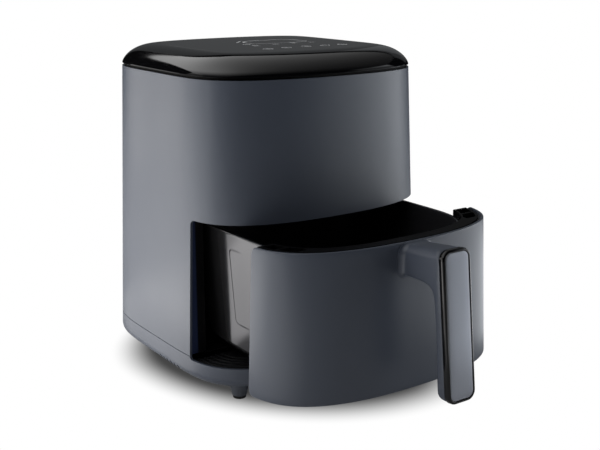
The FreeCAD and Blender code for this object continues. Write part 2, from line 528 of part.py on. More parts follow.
FR_IN = FRONT_WALL + 2.6
frame_d = body_solid(FRONT_LOW + 2.6, FRONT_HIGH - 2.4, FR_IN).common(box(-200, 200, -200, Y_MOUTH - DRAWER_GAP - 0.6, 0, 300))
lipf = body_solid(FRONT_HIGH - 2.6, FRONT_HIGH - 0.5, FRONT_WALL + 2.6).common(box(-200, 200, -200, Y_MOUTH - DRAWER_GAP - 0.6, 0, 300))
frame_d = frame_d.fuse(lipf).removeSplitter()
frame_d = frame_d.cut(pot_clear(0.4, POT_RIM - 4.0, 200)).cut(pot_clear(-1.6, 0, POT_RIM - 2.0))
# hollow from below behind ribs; the two ends are open at the top as well
void = body_solid(30, 200, FR_IN + 2.4).cut(pot_clear(2.0, 0, 300))
void = void.common(box(-200, 200, -200, Y_MOUTH - DRAWER_GAP - 3.2, 0, 300))
reach = fuse([box(-200, 200, -200, -60, 0, FRONT_HIGH - 5.0), box(-200, -90, -98, -60, 0, 300), box(90, 200, -98, -60, 0, 300)])
void = void.common(reach)
wall_ribs = [box(x - 1.0, x + 1.0, -200, -103, 0, 300) for x in range(-70, 71, 14)]
for y in (-83.0,):
    wall_ribs.append(box(-200, -82, y - 1.0, y + 1.0, 0, 300))
    wall_ribs.append(box(82, 200, y - 1.0, y + 1.0, 0, 300))
void = cut(void, wall_ribs)
frame_d = frame_d.cut(void)
# recess for the switch plunger
frame_d = frame_d.cut(cyl_y(2.6, SW_X, SW_Z, Y_MOUTH - 8.0, Y_MOUTH))
front = front.cut(cyl_y(2.6, SW_X, SW_Z, Y_MOUTH - 8.0, Y_MOUTH))

# handle: neck and grip as one profile, extruded across
GRIP_LEAN = 0.1115        # the grip's foot stands out further than its head
GRIP_LOW, GRIP_HIGH = 40.5, 168.7
def y_front(z):
    return -178.3 - (GRIP_HIGH - z) * GRIP_LEAN

def at(y, z):
    return V(-HANDLE_HALF, y, z)

GRIP_BOTTOM = 42.5
GRIP_SET = 5.2            # front of the shell behind the front of the grip
back = [(-177.2, GRIP_BOTTOM), (-175.9, 55.8), (-174.2, 76.8), (-172.5, 101.9), (-171.3, 118.0), (-169.6, 127.0), (-165.4, 133.9),
        (-158.7, 137.2), (-146.6, 137.7), (-139.0, 137.0), (-134.5, 135.0), (-131.5, 131.2)]
curve = Part.BSplineCurve()
curve.interpolate([at(y, z) for y, z in back])
p1, p2 = at(-112.0, 161.4), at(y_front(168.2) + GRIP_SET, 168.2)
p3, p4, p5, p6 = at(y_front(GRIP_BOTTOM) + GRIP_SET, GRIP_BOTTOM), at(*back[0]), at(*back[-1]), at(-112.0, 131.2)
prof = Part.Wire([Part.makeLine(p1, p2), Part.makeLine(p2, p3), Part.makeLine(p3, p4), curve.toShape(), Part.makeLine(p5, p6), Part.makeLine(p6, p1)])
hnd = Part.Face(prof).extrude(V(2 * HANDLE_HALF, 0, 0))
def x_edge_at(v):
    return lambda e: (abs(e.BoundBox.XLength - 2 * HANDLE_HALF) < 1e-3 and abs(e.BoundBox.YMin - v.y) < 0.02 and abs(e.BoundBox.ZMin - v.z) < 0.02)
hnd = try_fillet(hnd, 5.0, x_edge_at(p2))
hnd = try_fillet(hnd, 4.0, x_edge_at(p4))
hnd = try_fillet(hnd, 0.8, x_edge_at(p3))
# soft edges along both sides of the back and top
def side_edge(e):
    b = e.BoundBox
    return b.XLength < 1e-3 and abs(abs(b.XMin) - HANDLE_HALF) < 1e-3 and not (b.YMax < y_front(b.ZMin) + GRIP_SET + 1.0 and b.ZLength > 20) and b.YMax < -112.5
before = hnd.Volume
hnd = try_fillet(hnd, 3.0, side_edge)
print("handle side fillet", round(before - hnd.Volume, 1))
hnd = hnd.cut(body_solid(20, 200, -0.05))
# flared root on the drawer front: thin layers that follow a fillet
FLARE = 5.5
root, t0 = None, 0.0
for t in (0.3, 0.7, 1.2, 1.8, 2.5, 3.4, 4.4, 5.4):
    g = FLARE - math.sqrt(FLARE ** 2 - (FLARE - 0.5 * (t0 + t)) ** 2)
    fl = rbox(-HANDLE_HALF - g, HANDLE_HALF + g, 132.6 - g, min(159.6 + g, 164.4), 0, 40, 4.0 + g * 0.6)
    fl.rotate(V(0, 0, 0), V(1, 0, 0), 90)
    fl.translate(V(0, -110, 0))
    layer = fl.common(body_solid(110, 180, -t))
    root = layer if root is None else root.fuse(layer)
    t0 = t
root = root.cut(body_solid(20, 200, -0.05))
hnd = hnd.fuse(root).removeSplitter()

# glossy frame on the front of the grip and the satin insert inside it
TILT = math.degrees(math.atan(GRIP_LEAN))
def on_grip(x, z0, z1, d0, d1, r):
    """Plate parallel to the leaning front face; d is the distance outwards from the shell's front."""
    h = (z1 - z0) / math.cos(math.radians(TILT))
    b_ = rbox(-x, x, 0, h, d0, d1, r)           # drawn flat: x, height along Y, depth along Z
    b_.rotate(V(0, 0, 0), V(1, 0, 0), 90)       # height to Z, depth to -Y
    b_.rotate(V(0, 0, 0), V(1, 0, 0), -TILT)
    b_.translate(V(0, y_front(z0) + GRIP_SET, z0))
    return b_

bez = on_grip(HANDLE_HALF, GRIP_LOW, GRIP_HIGH, 0.02, 4.9, 8.5)
outer_faces = max(bez.Faces, key=lambda f: -f.CenterOfMass.y if abs(f.normalAt(0, 0).y) > 0.9 else -1e9)
try:
    bz = bez.makeFillet(1.6, outer_faces.Edges)
    if bz.isValid():
        bez = bz
except Exception:
    print("bezel fillet skipped")
ins_h = on_grip(12.4, 43.3, 166.0, 3.2, 5.3, 5.8)
bez = bez.cut(on_grip(12.55, 43.15, 166.15, 3.18, 8.0, 5.9))
outer_faces = max(ins_h.Faces, key=lambda f: -f.CenterOfMass.y if abs(f.normalAt(0, 0).y) > 0.9 else -1e9)
try:
    hz = ins_h.makeFillet(0.7, outer_faces.Edges)
    if hz.isValid():
        ins_h = hz
except Exception:
    print("insert fillet skipped")

# handle screws, heads inside the drawer front
hs, hole_h = [], []
for x in (-8.0, 8.0):
    yi = -b_at(146.0) + FRONT_WALL + 0.4
    hs.append(screw(x, yi, 146.0, (0, -1, 0), 3.0, 1.8, 1.6, 20.0))
    hole_h.append(cyl_y(1.7, x, 146.0, yi - 21.0, yi + 0.01))
hnd = cut(hnd, hole_h)
front = cut(front, hole_h)
frame_d = cut(frame_d, [cyl_y(3.6, x, 146.0, -b_at(146.0) - 1, -b_at(146.0) + FRONT_WALL + 2.9) for x in (-8.0, 8.0)])

# pot screws through the front wall of the pot into the frame
ps = []
for x in (-42.0, 42.0):
    z = 118.0
    t = (z - POT_KNEE) / (POT_RIM - POT_KNEE)
    a_, b_ = POT_A[1] + t * (POT_A[2] - POT_A[1]), POT_B[1] + t * (POT_B[2] - POT_B[1])
    yw = -b_ * (1 - abs(x / a_) ** POT_EXP_X) ** (1 / POT_EXP_Y)
    ps.append(screw(x, yw + POT_T + 0.9, z, (0, -1, 0), 3.6, 1.6, 1.7, 13.0))
    pot = pot.cut(cyl_y(1.8, x, z, yw - 10, yw + 10))
    frame_d = frame_d.cut(cyl_y(1.8, x, z, yw - 16, yw + 10))
    # the head seats on a flat boss ring
    seat = cyl_y(4.4, x, z, yw + 0.2, yw + POT_T + 0.9).cut(cyl_y(1.8, x, z, yw - 5, yw + 9))
    pot = pot.fuse(seat).removeSplitter()

# ------------------------------------------------------------- crisper grid
tG = (GRID_Z - POT_KNEE) / (POT_RIM - POT_KNEE)
ga = POT_A[1] + tG * (POT_A[2] - POT_A[1])
gb_ = POT_B[1] + tG * (POT_B[2] - POT_B[1])
grid = prism(ga, gb_, POT_EXP_X, POT_EXP_Y, GRID_Z, GRID_Z + 1.4, POT_T + 4.0)
skirt = prism(ga, gb_, POT_EXP_X, POT_EXP_Y, GRID_Z - 5.0, GRID_Z + 1.4, POT_T + 4.0).cut(prism(ga, gb_, POT_EXP_X, POT_EXP_Y, GRID_Z - 8, GRID_Z + 5, POT_T + 5.3))
grid = fuse([grid, skirt])
sl = []
for i in range(-5, 6):
    x = 13.4 * i
    for j in range(-3, 3):
        yc = 12.5 + 25.0 * j
        if abs(i) <= 1 and j in (-1, 0):
            continue
        if (abs(x) / 78.0) ** 3 + (abs(yc) / 82.0) ** 5 > 1.0:
            continue
        sl.append(slot_y(x, yc - 9.5, yc + 9.5, GRID_Z - 2, GRID_Z + 4, 5.0))
grid = cut(grid, sl)
lift = cyl(4.0, 0, 0, GRID_Z - 2, GRID_Z + 4)
grid = grid.cut(lift)
legs, gpads = [], []
for sx in (-1, 1):
    for sy in (-1, 1):
        x, y = sx * 56.0, sy * 62.5
        legs.append(cyl(4.0, x, y, POT_FLOOR + POT_T + 4.4, GRID_Z + 0.6))
        gpads.append(cyl(5.4, x, y, POT_FLOOR + POT_T + 0.4, POT_FLOOR + POT_T + 4.4))
grid = grid.fuse(legs).removeSplitter()

# ------------------------------------------------------------- write parts
out("outer_shell", shell)
out("base_tray", base)
out("feet", Part.makeCompound(feet))
out("foot_pads", Part.makeCompound(pads))
out("foot_screws", Part.makeCompound(fscrews))
out("sill_plate", sill)
out("cavity_liner", liner)
out("mouth_frame", frame)
out("switch_body", sw)
out("switch_plunger", plunger)
out("heater_dome", dome)
out("heating_element", element)
out("element_bushes", Part.makeCompound(bushes))
out("element_hangers", Part.makeCompound(clips))
out("guard_grille", guard)
out("drive_shaft", shaft)
out("hot_air_fan", hot_fan)
out("fan_nut", nut)
out("cooling_fan", cool_fan)
out("motor_plate", plate)
out("motor_standoffs", Part.makeCompound(standoffs))
out("motor_screws", Part.makeCompound(msc))
out("motor_stator", stator_main)
out("motor_winding", winding)
out("motor_rotor", rotor)
out("lower_yoke", low_yoke)
out("upper_yoke", up_yoke)
out("motor_bearings", Part.makeCompound(bear))
out("motor_bolts", Part.makeCompound(tie))
out("power_board", board)
out("board_posts", Part.makeCompound(bd_posts))
out("relay", relay)
out("capacitor", cap)
out("filter_capacitor", xcap)
out("terminal_block", term)
out("thermal_cutout", cutout)
out("temperature_probe", sensor)
out("exhaust_duct", duct)
out("rear_grille", grille)
out("insulation", ins)
out("cord_gland", gland)
out("lid", lid)
out("touch_panel", panel)
out("lid_ring", neck)
out("lid_screws", Part.makeCompound(lid_sc))
out("air_baffle", baffle)
out("control_board", cpcb)
out("board_spacers", Part.makeCompound(cp_posts))
out("display_module", display)
out("touch_springs", Part.makeCompound(springs))
out("drawer_front", front, True)
out("drawer_frame", frame_d, True)
out("pot", pot, True)
out("handle_shell", hnd, True)
out("handle_bezel", bez, True)
out("handle_insert", ins_h, True)
out("handle_screws", Part.makeCompound(hs), True)
out("pot_screws", Part.makeCompound(ps), True)
out("crisper_grid", grid, True)
out("grid_feet", Part.makeCompound(gpads), True)

print("nodes", len(BUILT), "all valid", all(v for _, _, v, _ in BUILT))
print("x %.2f %.2f y %.2f %.2f z %.2f %.2f" % (
    min(b.XMin for *_, b in BUILT), max(b.XMax for *_, b in BUILT),
    min(b.YMin for *_, b in BUILT), max(b.YMax for *_, b in BUILT),
    min(b.ZMin for *_, b in BUILT), max(b.ZMax for *_, b in BUILT)))
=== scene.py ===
import json
import math

import bmesh
import bpy
from mathutils import Matrix, Vector


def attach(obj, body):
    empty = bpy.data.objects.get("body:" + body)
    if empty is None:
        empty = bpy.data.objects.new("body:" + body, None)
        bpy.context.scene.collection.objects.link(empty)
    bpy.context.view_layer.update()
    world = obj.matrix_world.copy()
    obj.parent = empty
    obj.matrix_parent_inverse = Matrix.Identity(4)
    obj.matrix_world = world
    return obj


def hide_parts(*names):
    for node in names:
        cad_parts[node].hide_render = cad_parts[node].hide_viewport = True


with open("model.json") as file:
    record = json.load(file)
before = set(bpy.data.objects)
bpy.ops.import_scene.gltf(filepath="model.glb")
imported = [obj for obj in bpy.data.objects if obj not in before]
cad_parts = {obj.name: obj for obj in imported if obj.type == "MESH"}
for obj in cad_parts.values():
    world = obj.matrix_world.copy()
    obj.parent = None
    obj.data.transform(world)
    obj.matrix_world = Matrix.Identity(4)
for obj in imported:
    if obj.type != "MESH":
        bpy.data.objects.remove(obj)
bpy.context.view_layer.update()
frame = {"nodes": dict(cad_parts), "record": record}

NODE = frame["nodes"]
scene = bpy.context.scene
scene.view_settings.view_transform = "Standard"

# ------------------------------------------------------------------ materials


def lin(r, g, b):
    """sRGB bytes to linear."""
    def f(c):
        c /= 255.0
        return c / 12.92 if c <= 0.04045 else ((c + 0.055) / 1.055) ** 2.4
    return (f(r), f(g), f(b), 1.0)


def material(name, colour, rough, metallic=0.0, spec=0.5, coat=0.0, coat_rough=0.05,
             grain=0.0, grain_scale=1800.0, tone=0.06, tone_scale=9.0, rough_var=0.05, stretch=None, dust=0.0):
    """Moulded or sheet surface: slow tone drift, fine grain in the bump, uneven gloss."""
    m = bpy.data.materials.new(name)
    m.use_nodes = True
    nt = m.node_tree
    p = nt.nodes["Principled BSDF"]
    p.inputs["Metallic"].default_value = metallic
    p.inputs["Specular IOR Level"].default_value = spec
    p.inputs["Coat Weight"].default_value = coat
    p.inputs["Coat Roughness"].default_value = coat_rough
    tc = nt.nodes.new("ShaderNodeTexCoord")
    mp = nt.nodes.new("ShaderNodeMapping")
    if stretch:
        mp.inputs["Scale"].default_value = stretch
    nt.links.new(tc.outputs["Object"], mp.inputs["Vector"])
    slow = nt.nodes.new("ShaderNodeTexNoise")
    slow.inputs["Scale"].default_value = tone_scale
    slow.inputs["Detail"].default_value = 3.0
    nt.links.new(tc.outputs["Object"], slow.inputs["Vector"])
    fine = nt.nodes.new("ShaderNodeTexNoise")
    fine.inputs["Scale"].default_value = grain_scale
    fine.inputs["Detail"].default_value = 2.0
    nt.links.new(mp.outputs["Vector"], fine.inputs["Vector"])
    # colour
    mix = nt.nodes.new("ShaderNodeMix")
    mix.data_type = "RGBA"
    c = Vector(colour[:3])
    lo, hi = c * (1.0 - tone), c * (1.0 + tone)
    mix.inputs["A"].default_value = (*lo, 1.0)
    mix.inputs["B"].default_value = (*hi, 1.0)
    both = nt.nodes.new("ShaderNodeMath")
    both.operation = "MULTIPLY_ADD"
    both.inputs[1].default_value = 0.35
    nt.links.new(fine.outputs["Fac"], both.inputs[0])
    part = nt.nodes.new("ShaderNodeMath")
    part.operation = "MULTIPLY"
    part.inputs[1].default_value = 0.65
    nt.links.new(slow.outputs["Fac"], part.inputs[0])
    nt.links.new(part.outputs[0], both.inputs[2])
    nt.links.new(both.outputs[0], mix.inputs["Factor"])
    nt.links.new(mix.outputs["Result"], p.inputs["Base Color"])
    # roughness
    mr = nt.nodes.new("ShaderNodeMapRange")
    mr.inputs["From Min"].default_value = 0.25
    mr.inputs["From Max"].default_value = 0.75
    mr.inputs["To Min"].default_value = max(0.02, rough - rough_var)
    mr.inputs["To Max"].default_value = min(1.0, rough + rough_var)
    nt.links.new(slow.outputs["Fac"], mr.inputs["Value"])
    nt.links.new(mr.outputs["Result"], p.inputs["Roughness"])
    if grain > 0.0:
        b = nt.nodes.new("ShaderNodeBump")
        b.inputs["Strength"].default_value = grain
        b.inputs["Distance"].default_value = 0.0002
        nt.links.new(fine.outputs["Fac"], b.inputs["Height"])
        nt.links.new(b.outputs["Normal"], p.inputs["Normal"])
    return m


M = {
    "body_satin": material("body_satin", lin(74, 80, 92), 0.36, spec=0.5, grain=0.10, grain_scale=2600, tone=0.035),
    "foot_grey": material("foot_grey", lin(74, 79, 88), 0.45, grain=0.10, grain_scale=2600, tone=0.04),
    "gloss_black": material("gloss_black", lin(9, 9, 11), 0.07, spec=1.0, tone=0.10, rough_var=0.015),
    "black_plastic": material("black_plastic", lin(17, 18, 21), 0.5, grain=0.25, grain_scale=1500, tone=0.12),
    "bezel_gloss": material("bezel_gloss", lin(6, 6, 8), 0.08, spec=0.4, tone=0.10, rough_var=0.015),
    "panel_gloss": material("panel_gloss", lin(8, 8, 10), 0.06, spec=0.6, tone=0.10, rough_var=0.015),
    "mark_white": material("mark_white", lin(226, 227, 230), 0.5, tone=0.10, tone_scale=60, grain=0.05),
    "inlay_satin": material("inlay_satin", lin(159, 163, 172), 0.34, metallic=0.5, grain=0.08, grain_scale=2600, tone=0.035),
    "frame_black": material("frame_black", lin(4, 4, 5), 0.5, spec=0.08, grain=0.2, grain_scale=1500, tone=0.15),
    # near-black ring under the lid, darker than the black plastic: painted shade for the gap between lid and
    # housing
    "lid_gap_painted_shade": material("lid_gap_painted_shade", lin(3, 3, 4), 0.7, spec=0.2, grain=0.2, grain_scale=1500, tone=0.2),
    "mouth_navy_painted_shade": material("mouth_navy_painted_shade", lin(33, 43, 72), 0.5, spec=0.2, grain=0.15, grain_scale=1500, tone=0.10),
    "nonstick_coating": material("nonstick_coating", lin(48, 48, 51), 0.34, grain=0.12, grain_scale=900, tone=0.08, rough_var=0.04),
    "pot_outside": material("pot_outside", lin(71, 71, 73), 0.13, metallic=0.78, grain=0.03, grain_scale=500, stretch=(1, 1, 8), tone=0.05, rough_var=0.03),
    "cavity_steel": material("cavity_steel", lin(20, 20, 22), 0.38, metallic=0.2, grain=0.08, grain_scale=700, tone=0.15),
    "silicone_rubber": material("silicone_rubber", lin(14, 14, 15), 0.75, grain=0.3, grain_scale=1800, tone=0.2),
    "zinc_steel": material("zinc_steel", lin(190, 192, 196), 0.32, metallic=1.0, grain=0.08, grain_scale=500, stretch=(1, 1, 6), tone=0.08),
    "element_steel": material("element_steel", lin(96, 88, 82), 0.42, metallic=0.9, grain=0.12, grain_scale=900, tone=0.25, tone_scale=30),
    "aluminium_sheet": material("aluminium_sheet", lin(196, 198, 200), 0.34, metallic=1.0, grain=0.1, grain_scale=600, stretch=(6, 1, 1), tone=0.07),
    "chrome_wire": material("chrome_wire", lin(205, 206, 208), 0.14, metallic=1.0, tone=0.05, grain=0.03, grain_scale=400),
    "white_ceramic": material("white_ceramic", lin(232, 228, 218), 0.3, coat=0.3, tone=0.04, grain=0.05),
    "lamination_steel": material("lamination_steel", lin(120, 121, 125), 0.45, metallic=1.0, grain=0.5, grain_scale=900, stretch=(0.05, 0.05, 3), tone=0.12),
    "copper_winding": material("copper_winding", lin(196, 116, 70), 0.3, metallic=1.0, grain=0.6, grain_scale=1200, stretch=(4, 0.1, 0.1), tone=0.15),
    "bronze": material("bronze", lin(170, 130, 82), 0.35, metallic=1.0, grain=0.2, grain_scale=1500, tone=0.1),
    "circuit_board": material("circuit_board", lin(22, 84, 44), 0.35, coat=0.2, grain=0.1, grain_scale=800, tone=0.2, tone_scale=120),
    "component_plastic": material("component_plastic", lin(205, 200, 186), 0.45, grain=0.15, tone=0.05),
    "capacitor_sleeve": material("capacitor_sleeve", lin(28, 34, 66), 0.25, tone=0.08, grain=0.05),
    "display_lens": material("display_lens", lin(14, 14, 17), 0.12, tone=0.1),
    "glass_wool": material("glass_wool", lin(214, 208, 182), 0.95, grain=1.0, grain_scale=350, tone=0.15, tone_scale=60),
}


def painted_recess_shade(m, inner, x0, x1):
    """Painted shade: keeps the material's own colour near the outer skin and turns it to a near-black shade colour
    towards the middle, for the deeper shadow inside the recess.
    """
    nt = m.node_tree
    p = nt.nodes["Principled BSDF"]
    own = p.inputs["Base Color"].links[0].from_socket
    tc = nt.nodes.new("ShaderNodeTexCoord")
    sep = nt.nodes.new("ShaderNodeSeparateXYZ")
    nt.links.new(tc.outputs["Object"], sep.inputs["Vector"])
    ab = nt.nodes.new("ShaderNodeMath")
    ab.operation = "ABSOLUTE"
    nt.links.new(sep.outputs["X"], ab.inputs[0])
    mr = nt.nodes.new("ShaderNodeMapRange")
    mr.inputs["From Min"].default_value = x0
    mr.inputs["From Max"].default_value = x1
    nt.links.new(ab.outputs[0], mr.inputs["Value"])
    mix = nt.nodes.new("ShaderNodeMix")
    mix.data_type = "RGBA"
    mix.inputs["A"].default_value = inner
    nt.links.new(mr.outputs["Result"], mix.inputs["Factor"])
    nt.links.new(own, mix.inputs["B"])
    nt.links.new(mix.outputs["Result"], p.inputs["Base Color"])


def dull_edge(m, z0, z1, low, high):
    """Less gloss towards the lower edge."""
    nt = m.node_tree
    tc = nt.nodes.new("ShaderNodeTexCoord")
    sep = nt.nodes.new("ShaderNodeSeparateXYZ")
    nt.links.new(tc.outputs["Object"], sep.inputs["Vector"])
    mr = nt.nodes.new("ShaderNodeMapRange")
    mr.inputs["From Min"].default_value = z0
    mr.inputs["From Max"].default_value = z1
    mr.inputs["To Min"].default_value = low
    mr.inputs["To Max"].default_value = high
    nt.links.new(sep.outputs["Z"], mr.inputs["Value"])
    nt.links.new(mr.outputs["Result"], nt.nodes["Principled BSDF"].inputs["Specular IOR Level"])


def lean(m, slope, twist):
    """Side walls pressed slightly out of flat: the surface turns towards the front, more so lower down."""
    nt = m.node_tree
    p = nt.nodes["Principled BSDF"]
    tc = nt.nodes.new("ShaderNodeTexCoord")
    sep = nt.nodes.new("ShaderNodeSeparateXYZ")
    nt.links.new(tc.outputs["Object"], sep.inputs["Vector"])
    turn = nt.nodes.new("ShaderNodeMath")
    turn.operation = "MULTIPLY_ADD"
    turn.inputs[1].default_value = -twist
    turn.inputs[2].default_value = slope + 0.15 * twist
    nt.links.new(sep.outputs["Z"], turn.inputs[0])
    along = nt.nodes.new("ShaderNodeMath")
    along.operation = "ADD"
    along.inputs[1].default_value = 0.07
    nt.links.new(sep.outputs["Y"], along.inputs[0])
    k = nt.nodes.new("ShaderNodeMath")
    k.operation = "MULTIPLY"
    nt.links.new(turn.outputs[0], k.inputs[0])
    nt.links.new(along.outputs[0], k.inputs[1])
    b = nt.nodes.new("ShaderNodeBump")
    b.inputs["Strength"].default_value = 1.0
    b.inputs["Distance"].default_value = 1.0
    nt.links.new(k.outputs[0], b.inputs["Height"])
    own = p.inputs["Normal"].links
    if own:
        nt.links.new(own[0].from_socket, b.inputs["Normal"])
    nt.links.new(b.outputs["Normal"], p.inputs["Normal"])


dull_edge(M["gloss_black"], 0.2970, 0.3000, 0.08, 1.0)
lean(M["pot_outside"], 0.085, 2.0)
# painted shade: the mouth frame keeps its navy on the outer band only and goes near black further in, standing in
# for the shadow in the recess
painted_recess_shade(M["mouth_navy_painted_shade"], lin(1, 1, 2), 0.1185, 0.1198)

slots = {s["node"]: s["material_slot"] for s in frame["record"]["subparts"]}
special = {"mouth_frame": "mouth_navy_painted_shade", "drawer_frame": "frame_black", "lid_ring": "lid_gap_painted_shade"}


def dress(obj, mat):
    obj.data.materials.clear()
    obj.data.materials.append(mat)


for name, obj in NODE.items():
    dress(obj, M[special.get(name, slots[name])])

# ------------------------------------------------------------------ shaped pieces

MM = 0.001
Y_BODY = 77.95            # housing axis, row frame
Y_DRAWER = 77.95 - 100.8  # drawer drawn closed, standing open at rest


def plan(a, b, p, q, inset=0.0, n=256, angles=None):
    """Points and outward normals of a superellipse moved inwards."""
    pts = []
    for t in (angles if angles else [2 * math.pi * i / n for i in range(n)]):
        c, s = math.cos(t), math.sin(t)
        lo, hi = 0.0, 2.0 * max(a, b)
        for _ in range(48):
            r = 0.5 * (lo + hi)
            if abs(r * c / a) ** p + abs(r * s / b) ** q > 1.0:
                hi = r
            else:
                lo = r
        x, y = r * c, r * s
        gx = math.copysign(p * abs(x / a) ** (p - 1) / a, x)
        gy = math.copysign(q * abs(y / b) ** (q - 1) / b, y)
        g = math.hypot(gx, gy) or 1.0
        pts.append((x - inset * gx / g, y - inset * gy / g, gx / g, gy / g))
    return pts


def even_angles(n):
    """Angles that space the housing outline evenly along its length."""
    m = 2048
    p = plan(125.0, 130.0, 2.345, 5.0, 0.0, m)
    run = [0.0]
    for i in range(m):
        u, v = p[i], p[(i + 1) % m]
        run.append(run[-1] + math.hypot(u[0] - v[0], u[1] - v[1]))
    out_, k = [], 0
    for i in range(n):
        s = run[-1] * i / n
        while run[k + 1] < s:
            k += 1
        out_.append(2 * math.pi * (k + (s - run[k]) / (run[k + 1] - run[k])) / m)
    return out_


ANG = even_angles(288)


def body_ring(z, inset):
    return [(x * MM, (y + Y_BODY) * MM, z * MM) for x, y, _, _ in plan(130.99 - 0.033 * z, 136.80 - 0.049 * z, 2.345, 5.0, inset, angles=ANG)]


def make(name, verts, faces, mat, body, stands_for=(), sharp=None):
    me = bpy.data.meshes.new(name)
    me.from_pydata(verts, [], faces)
    bm = bmesh.new()
    bm.from_mesh(me)
    bmesh.ops.recalc_face_normals(bm, faces=bm.faces)
    bm.to_mesh(me)
    bm.free()
    me.polygons.foreach_set("use_smooth", [True] * len(me.polygons))
    if sharp:
        me.set_sharp_from_angle(angle=math.radians(sharp))
    me.update()
    ob = bpy.data.objects.new(name, me)
    scene.collection.objects.link(ob)
    ob.data.materials.append(mat)
    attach(ob, body)
    if stands_for:
        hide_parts(*stands_for)
    return ob


def rings_mesh(rings, closed=False, cap_first=False, cap_last=False):
    """Quads between rings of equal length; closed joins the last ring to the first."""
    n = len(rings[0])
    verts = [v for r in rings for v in r]
    faces = []
    m = len(rings)
    for k in range(m if closed else m - 1):
        a, b = k * n, ((k + 1) % m) * n
        for i in range(n):
            j = (i + 1) % n
            faces.append((a + i, a + j, b + j, b + i))
    if cap_first:
        faces.append(tuple(range(n)))
    if cap_last:
        faces.append(tuple(range((m - 1) * n, m * n)))
    return verts, faces


# lid: rolled crown with a recessed seat for the touch panel
LID_TOP = 313.69


def crown(d):
    z = 295.4 + 18.7 * (1.0 - max(0.0, 1.0 - d / 46.0) ** 3) ** (2.0 / 3.0)
    k = 0.15
    return LID_TOP - k * math.log(1.0 + math.exp((LID_TOP - z) / k)) if z > LID_TOP - 3 else z


prof = [(2.5, 295.5), (2.1, 295.25), (0.55, 295.2), (0.2, 295.26), (0.04, 295.42)]
prof += [(33.0 * (i / 46.0) ** 2.1, crown(33.0 * (i / 46.0) ** 2.1)) for i in range(1, 47)]
prof += [(33.05, crown(33.0) - 0.1), (33.1, 311.4), (37.0, 311.4), (37.0, 309.6), (30.0, 309.6), (23.0, 309.3), (17.4, 308.1), (12.4, 305.5), (8.4, 302.6), (5.4, 300.0), (3.6, 297.8), (2.6, 296.2)]
v, f = rings_mesh([body_ring(z, d) for d, z in prof], closed=True)
lid_v = make("lid_crown", v, f, M["gloss_black"], "housing", ("lid",), sharp=50)

# touch panel: carries the crown on to the middle
rings = [body_ring(311.45, 33.2), body_ring(crown(33.2) - 0.12, 33.2), body_ring(crown(33.3), 33.32)]
for d in (34.5, 36.5, 39.0, 42.0, 46.0):
    rings.append(body_ring(crown(d), d))
last = rings[-1]
cy = Y_BODY * MM
for s_ in (0.86, 0.7, 0.5, 0.3, 0.12):
    rings.append([(x * s_, cy + (y - cy) * s_, LID_TOP * MM) for x, y, z in last])
v, f = rings_mesh(rings, cap_first=True, cap_last=True)
panel_v = make("touch_glass", v, f, M["panel_gloss"], "housing", ("touch_panel",), sharp=40)


# marks printed on the touch panel: rings, bars and figures, all plain strokes
def strokes(lines, width, z0, z1):
    verts, faces = [], []
    for pts, shut in lines:
        n = len(pts)
        base = len(verts)
        for i, (x, y) in enumerate(pts):
            a = pts[(i - 1) % n] if (shut or i) else pts[i]
            b = pts[(i + 1) % n] if (shut or i < n - 1) else pts[i]
            dx, dy = b[0] - a[0], b[1] - a[1]
            l = math.hypot(dx, dy) or 1.0
            ox, oy = -dy / l * width / 2, dx / l * width / 2
            for z in (z0, z1):
                verts.append(((x + ox) * MM, (y + oy + Y_BODY) * MM, z * MM))
                verts.append(((x - ox) * MM, (y - oy + Y_BODY) * MM, z * MM))
        for i in range(n if shut else n - 1):
            p, q = base + 4 * i, base + 4 * ((i + 1) % n)
            faces += [(p + 2, p + 3, q + 3, q + 2), (p, q, q + 1, p + 1), (p, p + 2, q + 2, q), (p + 1, q + 1, q + 3, p + 3)]
        if not shut:
            for p in (base, base + 4 * (n - 1)):
                faces.append((p, p + 1, p + 3, p + 2))
    return verts, faces


def circle(x, y, r, n=28, a0=0.0, a1=360.0):
    shut = a1 - a0 >= 360.0
    k = n if shut else n + 1
    return [(x + r * math.cos(math.radians(a0 + (a1 - a0) * i / n)), y + r * math.sin(math.radians(a0 + (a1 - a0) * i / n))) for i in range(k)], shut


def bar(x0, y0, x1, y1):
    return [(x0, y0), (x1, y1)], False


thin, bold = [], []
for i, (x, y) in enumerate(((-32, -56), (-10, -54), (14.5, -51.5), (35, -53.5), (55.5, -54))):   # front row of keys
    thin.append(circle(x, y, 4.4))
    if i % 3 == 0:
        thin += [bar(x - 2.4, y, x + 2.4, y), bar(x, y - 2.4, x, y + 2.4)]
    elif i % 3 == 1:
        thin += [bar(x - 2.2, y - 1.2, x + 2.2, y - 1.2), bar(x - 2.2, y + 1.2, x + 2.2, y + 1.2)]
    else:
        thin.append(circle(x, y, 1.8))
for i, (x, y) in enumerate(((-22, -20), (3.5, -15), (27.5, -11.5), (48, -13))):        # second row
    thin.append(bar(x - 3.6, y - 2.0, x + 3.6, y - 2.0))
    thin.append(bar(x - 3.6, y + 0.6, x + 3.6, y + 0.6) if i % 2 else circle(x, y + 1.8, 2.4))
arc = []
for i in range(61):                                               # upper outline of the display
    t = math.radians(168.0 - 160.0 * i / 60)
    c_, s_ = math.cos(t), math.sin(t)
    arc.append((20.5 + 32.0 * math.copysign(abs(c_) ** 0.62, c_), 5.0 + 29.0 * abs(s_) ** 0.62))
bold += [(arc, False), bar(-16.5, 23.5, -4.5, 36.0)]
low_arc = []
for i in range(61):                                               # lower outline, thinner
    t = math.radians(168.0 + 200.0 * i / 60)
    c_, s_ = math.cos(t), math.sin(t)
    low_arc.append((20.5 + 32.0 * math.copysign(abs(c_) ** 0.62, c_), 5.0 + (29.0 if s_ > 0.0 else -10.0) * abs(s_) ** 0.62))
thin.append((low_arc, False))
